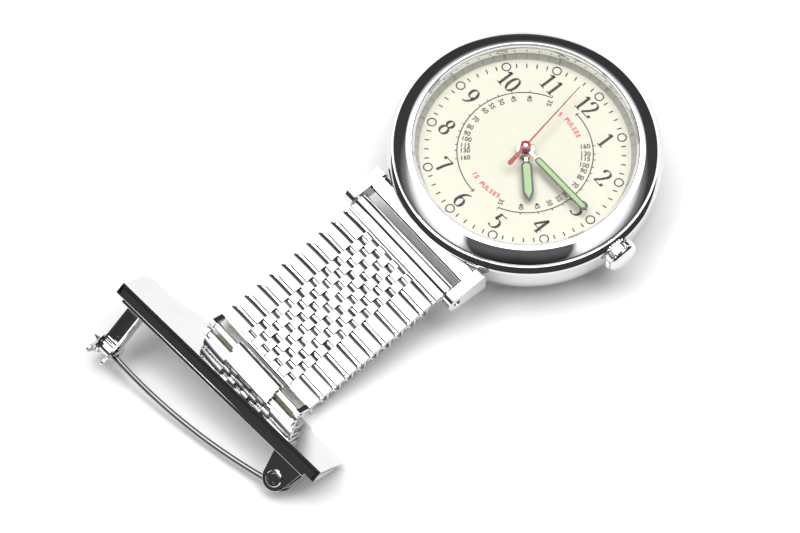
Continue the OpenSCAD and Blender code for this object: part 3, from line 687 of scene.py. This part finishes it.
def make_crown():
    bm = bmesh.new()
    ribs = []
    for k in range(CROWN_RIBS):
        for r, s in ((1.5, -0.3), (1.74, -0.2), (1.74, 0.2), (1.5, 0.3)):
            a = TAU * (k + s) / CROWN_RIBS
            ribs.append((r * math.cos(a), r * math.sin(a)))
    prism(bm, ribs, "z", 0.06, 0.72)
    cap = [(0, 0.0), (1.44, 0.0), (1.5, 0.06), (1.5, 0.8), (1.66, 0.84), (1.71, 0.95)]
    cap += [(1.66, 1.08), (1.5, 1.22), (1.2, 1.33), (0.8, 1.41), (0.4, 1.45), (0, 1.46)]
    lathe(bm, cap, 88, closed=False)
    turn = Matrix.Translation((CROWN_X, 0, CROWN_Z)) @ Matrix.Rotation(math.radians(90), 4, "Y")
    piece("crown_knurled", bm, CHROME, "crown_and_stem", ["crown"], place=turn, sharp=32)


# ---- Band: local -Y runs along it (u) and local Z is its outward normal (v) ----

def crowned(bm, x1, x2, u1, u2, top, tilt, roll, end):
    """Plate with a crowned top: it falls towards both rows' edges, and towards an end at |x| = end."""
    nx = 12 if x2 - x1 > 2 else 5
    nu = 14
    edge = 0.035
    falls_from = 3.6
    us = [u1] + [u1 + edge + (u2 - u1 - 2 * edge) * i / nu for i in range(nu + 1)] + [u2]
    xs = [x1] + [x1 + edge + (x2 - x1 - 2 * edge) * i / nx for i in range(nx + 1)] + [x2]
    mid_u, half_u, mid_x = (u1 + u2) / 2, (u2 - u1) / 2, (x1 + x2) / 2
    rows = []
    for j, u in enumerate(us):
        row = []
        for i, x in enumerate(xs):
            s = (mid_u - u) / half_u
            v = top - half_u * fall(s)
            v += tilt * (u - mid_u) + roll * (x - mid_x)
            if end:
                v -= 0.08 * max(0, (abs(x) - falls_from) / (end - falls_from)) ** 3
            if i in (0, len(xs) - 1) or j in (0, len(us) - 1):
                v -= edge
            row.append(bm.verts.new((x, -u, v)))
        rows.append(row)
    for j in range(len(us) - 1):
        for i in range(len(xs) - 1):
            bm.faces.new((rows[j][i], rows[j + 1][i], rows[j + 1][i + 1], rows[j][i + 1]))
    border = rows[0] + [r[-1] for r in rows[1:]] + rows[-1][-2::-1] + [r[0] for r in rows[-2:0:-1]]
    below = [bm.verts.new((v.co.x, v.co.y, BAND_TOP - COVER_THICK)) for v in border]
    for k in range(len(border)):
        j = (k + 1) % len(border)
        bm.faces.new((border[k], border[j], below[j], below[k]))
    bm.faces.new(below)


def fall(s):
    """Drop of a cover's top: level at its tail, then curving down to an even slope at its head side."""
    t = min(max((s + 0.2) / 0.8, 0), 1)
    return 0.4 * (t ** 3 - t ** 4 / 2) + 0.5 * max(s - 0.6, 0) + 0.25 * max(-0.45 - s, 0) ** 2


def jitter(amount):
    return random.uniform(-amount, amount)


def cover(bm, x1, x2, start, stop, tilt, roll, sink=0.0, inset=0.0, end=0.0):
    """Crowned plate from the gap after start to stop, with a lower ledge under its head side."""
    crowned(bm, x1, x2, start + ROW_GAP + LEDGE, stop, BAND_TOP - sink, tilt, roll, end)
    block(bm, (x1 + inset, -start - ROW_GAP - LEDGE - 0.1, BAND_TOP - COVER_THICK),
          (x2 - inset, -start - ROW_GAP, BAND_TOP - COVER_THICK + 0.16))


def brick_at(column):
    """Both ends in x of a brick in its column."""
    x = -BRICK_ZONE + (column + 0.5) * BRICK_W
    half = BRICK_W / 2 - 0.03
    return x - half, x + half


def row_top(bm, u, first):
    """Wide plates at both sides of a row and its bricks, every other one half a row ahead."""
    for s in (-1, 1):
        x1, x2 = sorted((s * BAND_HALF, s * (BRICK_ZONE + 0.025)))
        cover(bm, x1, x2, u, u + PITCH, jitter(0.02), jitter(0.004), inset=0.02, end=BAND_HALF)
    for column in range(BRICKS):
        x1, x2 = brick_at(column)
        shift = 0 if column % 2 else PITCH / 2
        start = u if first else u - shift
        cover(bm, x1, x2, start, u + PITCH - shift, jitter(0.05), jitter(0.03), sink=0.01)


def make_row(k):
    u = ROW_START + (k - 1) * PITCH
    bm = bmesh.new()
    row_top(bm, u, k == 1)
    # side walls and the bar under the covers
    for s in (-1, 1):
        x1, x2 = sorted((s * (BAND_HALF - 0.01), s * (BAND_HALF - 0.22)))
        block(bm, (x1, -u - PITCH + 0.02, 0.42), (x2, -u - 0.18, BAND_TOP - 0.24))
    block(bm, (-6.42, -u - 0.8, 0.05), (6.42, -u - 0.16, BAND_TOP - 0.25))
    piece("row_%d" % k, bm, CHROME_BAND, "band_row_%d" % k, ["band_cover_%d" % k], place=BAND, sharp=38)


def make_shell(k):
    """Inner shell under the joint of two rows, open at its top, with staple legs towards both rows."""
    u = ROW_START + k * PITCH
    bm = bmesh.new()
    wall, reach, sheet, rim = BAND_HALF - 0.3, PITCH / 2 - 0.07, 0.2, -0.3
    left, right = -u - reach, -u + reach
    foot, inside = BAND_BOTTOM + 0.05, BAND_BOTTOM + 0.25
    outline = [(left, foot), (left + 0.05, BAND_BOTTOM), (right - 0.05, BAND_BOTTOM), (right, foot),
               (right, rim), (right - sheet, rim), (right - sheet, inside),
               (left + sheet, inside), (left + sheet, rim), (left, rim)]
    prism(bm, outline, "x", -wall, wall)
    for x in (-BAND_HALF + 0.03, BAND_HALF - 0.34):
        for s in (-1, 1):
            leg = [(s * 0.66, 0.34), (s * 0.36, 0.34), (s * 0.02, -0.95), (s * 0.32, -0.95)]
            prism(bm, [(y - u, v) for y, v in leg], "x", x, x + 0.31)
    for x in (-wall, wall - 0.25):
        block(bm, (x, left, BAND_BOTTOM + 0.02), (x + 0.25, right, rim))
    soften(bm, 0.06, 30)
    piece("inner_shell_%d" % k, bm, CHROME_LINK, "band_shell_%d" % k, ["band_underlink_%d" % k],
          place=BAND, sharp=38)


def make_end_link():
    """Tube on the lugs' bar, two thin rods beside it and the folded sheet that holds the first row."""
    bm = bmesh.new()
    half = BAND_HALF
    rod_x(bm, 0, 0, 0.85, -half, half, 64)
    rod_x(bm, -1.02, 0.42, 0.17, -half + 0.02, half - 0.02, 24)
    rod_x(bm, -1.36, 0.5, 0.15, -half + 0.02, half - 0.02, 24)
    block(bm, (-half + 0.05, -1.5, -0.2), (half - 0.05, -0.6, 0.4))
    block(bm, (-half + 0.3, -1.4, -0.85), (half - 0.3, -0.3, -0.5))
    block(bm, (-half + 0.3, -1.4, -0.85), (half - 0.3, -1.12, 0.2))
    piece("end_link", bm, CHROME_BAND, "band_row_1", ["band_end_link"], place=BAND, sharp=38)


def make_end_shell():
    bm = bmesh.new()
    half, u = BAND_HALF, ROWS_END
    # last bricks, half a row ahead
    for column in range(0, BRICKS, 2):
        x1, x2 = brick_at(column)
        cover(bm, x1, x2, u - PITCH / 2, u + 0.1, jitter(0.05), jitter(0.03), sink=0.01)
    # rounded lip and the wall under it, with its inside left raw
    lip = [(-u - 0.02, BAND_TOP - 0.5), (-u - 0.02, BAND_TOP - 0.03), (-u - 0.1, BAND_TOP)]
    lip += [(-u - 0.24, BAND_TOP - 0.03), (-u - 0.36, BAND_TOP - 0.12), (-u - 0.4, BAND_TOP - 0.24),
            (-u - 0.4, BAND_TOP - 0.5)]
    prism(bm, lip, "x", -half, half)
    wall_top = BAND_TOP - 0.45
    wall = [(-u - 0.05, BAND_BOTTOM), (-u - 0.05, wall_top), (-u - 0.3, wall_top), (-u - 0.3, BAND_BOTTOM)]
    prism(bm, wall, "x", -half, half)
    count = len(bm.faces)
    block(bm, (-half + 0.56, -u - 0.33, BAND_BOTTOM + 0.02), (half - 0.56, -u - 0.29, BAND_TOP - 0.5))
    paint_from(bm, count, 1)
    # the knuckle's ears
    for s in (-1, 1):
        x1, x2 = sorted((s * half, s * (half - 0.55)))
        ear = circle(-KNUCKLE_U, KNUCKLE_V, 0.5, 20, math.radians(90), math.radians(180))
        ear += [(-u - 0.1, KNUCKLE_V - 0.5), (-u - 0.1, BAND_TOP - 0.1)]
        prism(bm, ear, "x", x1, x2, [circle(-KNUCKLE_U, KNUCKLE_V, KNUCKLE_HOLE_R, 24)])
    soften(bm, 0.03, 50)
    piece("end_shell", bm, [CHROME_BAND, BRASS_INSIDE], "band_row_%d" % ROWS, ["band_end_shell"],
          place=BAND, sharp=20)


# ---- Brooch: local Y runs down the face from the ridge (w), local Z out of the face (n) ----

def plate_outline():
    """Bar with one rounded and one nearly square end, wider in the middle over two S-curves."""
    half, end_h, mid_h = PLATE_HALF, 5.7, 7.1
    outline = [(-half, 0), (half, 0), (half, end_h - 0.5)]
    outline += circle(half - 0.5, end_h - 0.5, 0.5, 6, 0, math.radians(90))
    outline.append((half - 4.0, end_h))
    for i in range(1, 9):
        t = i / 8
        outline.append((half - 4.0 - 2.2 * t, end_h + (mid_h - end_h) * (3 * t * t - 2 * t ** 3)))
    for i in range(0, 9):
        t = i / 8
        outline.append((-half + 6.2 - 2.2 * t, mid_h - (mid_h - end_h) * (3 * t * t - 2 * t ** 3)))
    return outline + circle(-half + 1.2, end_h - 1.2, 1.2, 12, math.radians(90), math.radians(90))


def cut_off(bm, point, normal):
    """Cuts away what lies on the normal's side of a plane, and closes the cut."""
    geometry = bm.verts[:] + bm.edges[:] + bm.faces[:]
    cut = bmesh.ops.bisect_plane(bm, geom=geometry, plane_co=point, plane_no=normal, clear_outer=True)
    rim = [e for e in cut["geom_cut"] if isinstance(e, bmesh.types.BMEdge)]
    if rim:
        bmesh.ops.holes_fill(bm, edges=rim, sides=0)


def make_plate():
    bm = bmesh.new()
    half = PLATE_HALF
    prism(bm, plate_outline(), "z", -0.5, 0)
    # returned edge and end flanges
    block(bm, (-half, 0, -1.3), (half, 0.45, -0.2))
    for x in (-half, half - 0.4):
        prism(bm, [(0, -0.1), (0, -1.3), (1.2, -1.3), (4.3, -0.5), (4.3, -0.1)], "x", x, x + 0.4)
    soften(bm, 0.05, 40)
    bm.transform(PLATE)
    # flat where it lies on the table, and cut back at the knuckle's lip
    cut_off(bm, (0, 0, 0.003), (0, 0, -1))
    cut_off(bm, KNUCKLE @ Vector((0, LIP_Y, 0)), KNUCKLE.to_3x3() @ Vector((0, 1, 0)))
    turned = bmesh.new()
    lip = [(-1.5, -0.62), (LIP_Y - 0.1, -0.62), (LIP_Y, -0.7), (LIP_Y, -1.1), (-1.5, -1.1)]
    prism(turned, lip, "x", -7.2, 7.2)
    tube = [(0.46, -3.0), (0.68, -3.0), (0.75, -2.93), (0.75, 3.43), (0.68, 3.5), (0.46, 3.5)]
    lathe(turned, tube, 48, Matrix.Rotation(math.radians(90), 4, "Y"))
    turned.transform(KNUCKLE)
    mesh = bpy.data.meshes.new("lip")
    turned.to_mesh(mesh)
    turned.free()
    bm.from_mesh(mesh)
    bpy.data.meshes.remove(mesh)
    piece("plate", bm, CHROME_BROOCH, "brooch", ["brooch_plate"], sharp=20)


def make_strip():
    """Inner strip with the two ears of the pin's hinge."""
    bm = bmesh.new()
    block(bm, (-12.8, 0.02, STRIP_N), (12.6, 2.0, -1.3))
    for w, r in ((0.28, 1.35), (1.43, 1.6)):
        ear = circle(RIVET_X, RIVET_N, r, 28, math.radians(190), math.radians(160))
        ear += [(RIVET_X + 1.9, -1.5), (RIVET_X - 1.9, -1.5)]
        prism(bm, ear, "y", w, w + 0.35, [circle(RIVET_X, RIVET_N, 0.46, 24)])
    soften(bm, 0.05, 40)
    piece("strip", bm, CHROME_BROOCH, "brooch", ["brooch_strip"], place=PLATE, sharp=20)


def make_rivet():
    bm = bmesh.new()
    profile = [(0, 0.02), (0.36, 0.02), (0.4, 0.08), (0.5, 0.08), (0.55, 0.0), (0.78, 0.03), (0.86, 0.12),
               (0.85, 0.28), (0.45, 0.28), (0.45, 1.82), (0.38, 1.9), (0, 1.9)]
    turn = PLATE @ Matrix.Translation((RIVET_X, 0, RIVET_N)) @ Matrix.Rotation(math.radians(-90), 4, "X")
    lathe(bm, profile, 48, closed=False)
    piece("rivet", bm, CHROME_BROOCH, "brooch", ["hinge_rivet"], place=turn, sharp=32)


def make_pin():
    """Bowed wire from its eye on the rivet to a point in the catch."""
    bm = bmesh.new()
    start, end = (RIVET_X, RIVET_N - 0.77), (CATCH_X - 1.1, CATCH_N + 0.08)
    steps, bow = 48, 4.4
    points, radii = [], []
    for i in range(steps + 1):
        t = i / steps
        points.append((start[0] + (end[0] - start[0]) * t, PIN_W,
                       start[1] + (end[1] - start[1]) * t - bow * t * (1 - t)))
        radii.append(WIRE_R)
    for i in range(1, 7):
        points.append((end[0] - i / 6, PIN_W, end[1] + 0.07 * i / 6))
        radii.append(max(WIRE_R * (1 - (i / 6) ** 1.6), 0.02))
    sweep(bm, points, radii)
    profile = [(0.49, 0.04), (0.53, 0), (1.0, 0), (1.05, 0.06), (1.05, 0.54), (1.0, 0.6), (0.53, 0.6),
               (0.49, 0.56)]
    eye = Matrix.Translation((RIVET_X, PIN_W + 0.3, RIVET_N)) @ Matrix.Rotation(math.radians(90), 4, "X")
    lathe(bm, profile, 48, eye)
    piece("pin_wire", bm, PIN_WIRE_PAINTED_SHADE, "pin", ["brooch_pin"], place=PLATE, sharp=38)


def make_catch_body():
    """Two cheeks that hold the catch's barrel, on a foot and a back."""
    bm = bmesh.new()
    for x in (CATCH_X - 0.85, CATCH_X + 0.6):
        cheek = circle(PIN_W, CATCH_N, 0.98, 28, math.radians(180), math.radians(180))
        cheek += [(PIN_W + 0.75, STRIP_N), (PIN_W - 0.75, STRIP_N)]
        prism(bm, cheek, "x", x, x + 0.25)
    block(bm, (CATCH_X - 0.62, PIN_W + 0.55, CATCH_N), (CATCH_X + 0.62, PIN_W + 0.75, STRIP_N))
    block(bm, (CATCH_X - 0.85, PIN_W - 0.75, STRIP_N - 0.25), (CATCH_X + 0.85, PIN_W + 0.75, STRIP_N))
    soften(bm, 0.05, 40)
    piece("catch_body", bm, CHROME_BROOCH, "brooch", ["catch_housing"], place=PLATE, sharp=20)


def make_catch_turner():
    """Slotted barrel that closes over the pin, with a finger tab on the disc at each end."""
    bm = bmesh.new()
    barrel = circle(0, 0, 0.69, 32, math.radians(-54), math.radians(288))
    barrel += circle(0, 0, 0.42, 24, math.radians(234), math.radians(-288))
    prism(bm, barrel, "x", -1.1, 1.1)
    for x in (-1.15, 0.9):
        tab = circle(-2.2, -0.28, 0.48, 18, math.radians(80), math.radians(200)) + [(-0.9, -0.78)]
        tab += circle(0, 0, 1.12, 26, math.radians(235), math.radians(255))
        prism(bm, tab, "x", x, x + 0.25, [circle(0, 0, 0.42, 20)])
    soften(bm, 0.04, 40)
    piece("catch_turner", bm, CHROME_BROOCH, "catch", ["catch_rotor"],
          place=PLATE @ Matrix.Translation((CATCH_X, PIN_W, CATCH_N)), sharp=20)


# ---- CAD nodes that keep their own shape ----

KEPT = {
    STEEL_BACK: ["case_back", "lug_spring_bar", "end_spring_bar", "crown_tube"],
    GASKET: ["crystal_gasket"],
    PLASTIC_BLACK: ["movement_ring"],
    GILT: ["main_plate", "fourth_wheel", "third_wheel", "centre_wheel", "cannon_pinion", "minute_wheel",
           "hour_wheel"],
    NICKEL: ["train_bridge", "setting_lever", "battery", "stator", "rotor", "quartz_can"],
    BLUED: ["movement_screws", "setting_stem"],
    COPPER: ["coil"],
    BOARD: ["circuit_board"],
    PLASTIC_WHITE: ["intermediate_wheel"],
}


def finish_kept():
    for material, names in KEPT.items():
        for name in names:
            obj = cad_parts[name]
            obj.data.materials.clear()
            obj.data.materials.append(material)


make_bezel()
make_case()
make_crystal()
make_rehaut()
make_dial()
make_print()
make_hour_hand()
make_minute_hand()
make_second_hand()
make_crown()
for number in range(1, ROWS + 1):
    make_row(number)
for number in range(1, ROWS):
    make_shell(number)
make_end_link()
make_end_shell()
make_plate()
make_strip()
make_rivet()
make_pin()
make_catch_body()
make_catch_turner()
finish_kept()


# ---- Floor, light and camera ----

def make_floor():
    """Pale paper, a hair below the object so that the two don't share a face."""
    bm = bmesh.new()
    bmesh.ops.create_grid(bm, x_segments=4, y_segments=4, size=1.2)
    mesh = bpy.data.meshes.new("floor")
    bm.to_mesh(mesh)
    bm.free()
    floor = bpy.data.objects.new("floor", mesh)
    bpy.context.scene.collection.objects.link(floor)
    floor.location.z = -0.00002
    m, tree, shader = new_material("floor_paper")
    tree.links.new(ramp(tree, noise(tree, 60, 3), grey(0.93), grey(0.95)), shader.inputs["Base Color"])
    shader.inputs["Roughness"].default_value = 0.7
    shader.inputs["Emission Color"].default_value = grey(1.0)
    shader.inputs["Emission Strength"].default_value = 0.06
    shader.inputs["Specular IOR Level"].default_value = 0.2
    mesh.materials.append(m)


def make_world():
    """A light tent: white overhead and down both sides, dark near the horizon and where the camera stands."""
    world = bpy.data.worlds.new("studio")
    bpy.context.scene.world = world
    world.use_nodes = True
    tree = world.node_tree
    background = tree.nodes["Background"]
    direction = tree.nodes.new("ShaderNodeTexCoord").outputs["Generated"]

    def along(vector):
        n = tree.nodes.new("ShaderNodeVectorMath")
        n.operation = "DOT_PRODUCT"
        n.inputs[1].default_value = vector
        tree.links.new(direction, n.inputs[0])
        return n.outputs["Value"]

    def maths(kind, a, b=None):
        n = tree.nodes.new("ShaderNodeMath")
        n.operation = kind
        for socket, value in zip(n.inputs, (a, b)):
            if hasattr(value, "links"):
                tree.links.new(value, socket)
            elif value is not None:
                socket.default_value = value
        return n.outputs["Value"]

    def levels(value, stops):
        r = tree.nodes.new("ShaderNodeValToRGB")
        elements = r.color_ramp.elements
        elements[0].position, elements[0].color = stops[0][0], grey(stops[0][1])
        elements[1].position, elements[1].color = stops[-1][0], grey(stops[-1][1])
        for position, level in stops[1:-1]:
            elements.new(position).color = grey(level)
        tree.links.new(value, r.inputs["Fac"])
        return r.outputs["Color"]

    height = along((0, 0, 1))
    sideways = maths("ABSOLUTE", along(ACROSS))
    tent = levels(maths("ADD", height, maths("MULTIPLY", sideways, 0.15)),
                  [(0.0, 0.03), (0.1, 0.01), (0.64, 0.012), (0.74, 0.06), (0.83, 0.3), (0.91, 1.0)])
    person = levels(along(TO_CAMERA), [(0.86, 1.0), (0.92, 0.03)])
    tree.links.new(maths("MULTIPLY", tent, person), background.inputs["Color"])
    background.inputs["Strength"].default_value = 4.2


def make_camera():
    data = bpy.data.cameras.new("camera")
    data.lens = 230
    data.sensor_width = 36
    data.clip_start = 0.01
    camera = bpy.data.objects.new("camera", data)
    bpy.context.scene.collection.objects.link(camera)
    right = Vector((0.6475, 0.7618, 0.0199)).normalized()
    forward = Vector((-0.3333, 0.3066, -0.8916)).normalized()
    up = right.cross(forward)
    turn = Matrix((right, up, -forward)).transposed()
    camera.matrix_world = Matrix.Translation((0.1719, -0.1746, 0.4604)) @ turn.to_4x4()
    bpy.context.scene.camera = camera


make_floor()
make_world()
make_camera()
bpy.context.scene.view_settings.view_transform = "Standard"
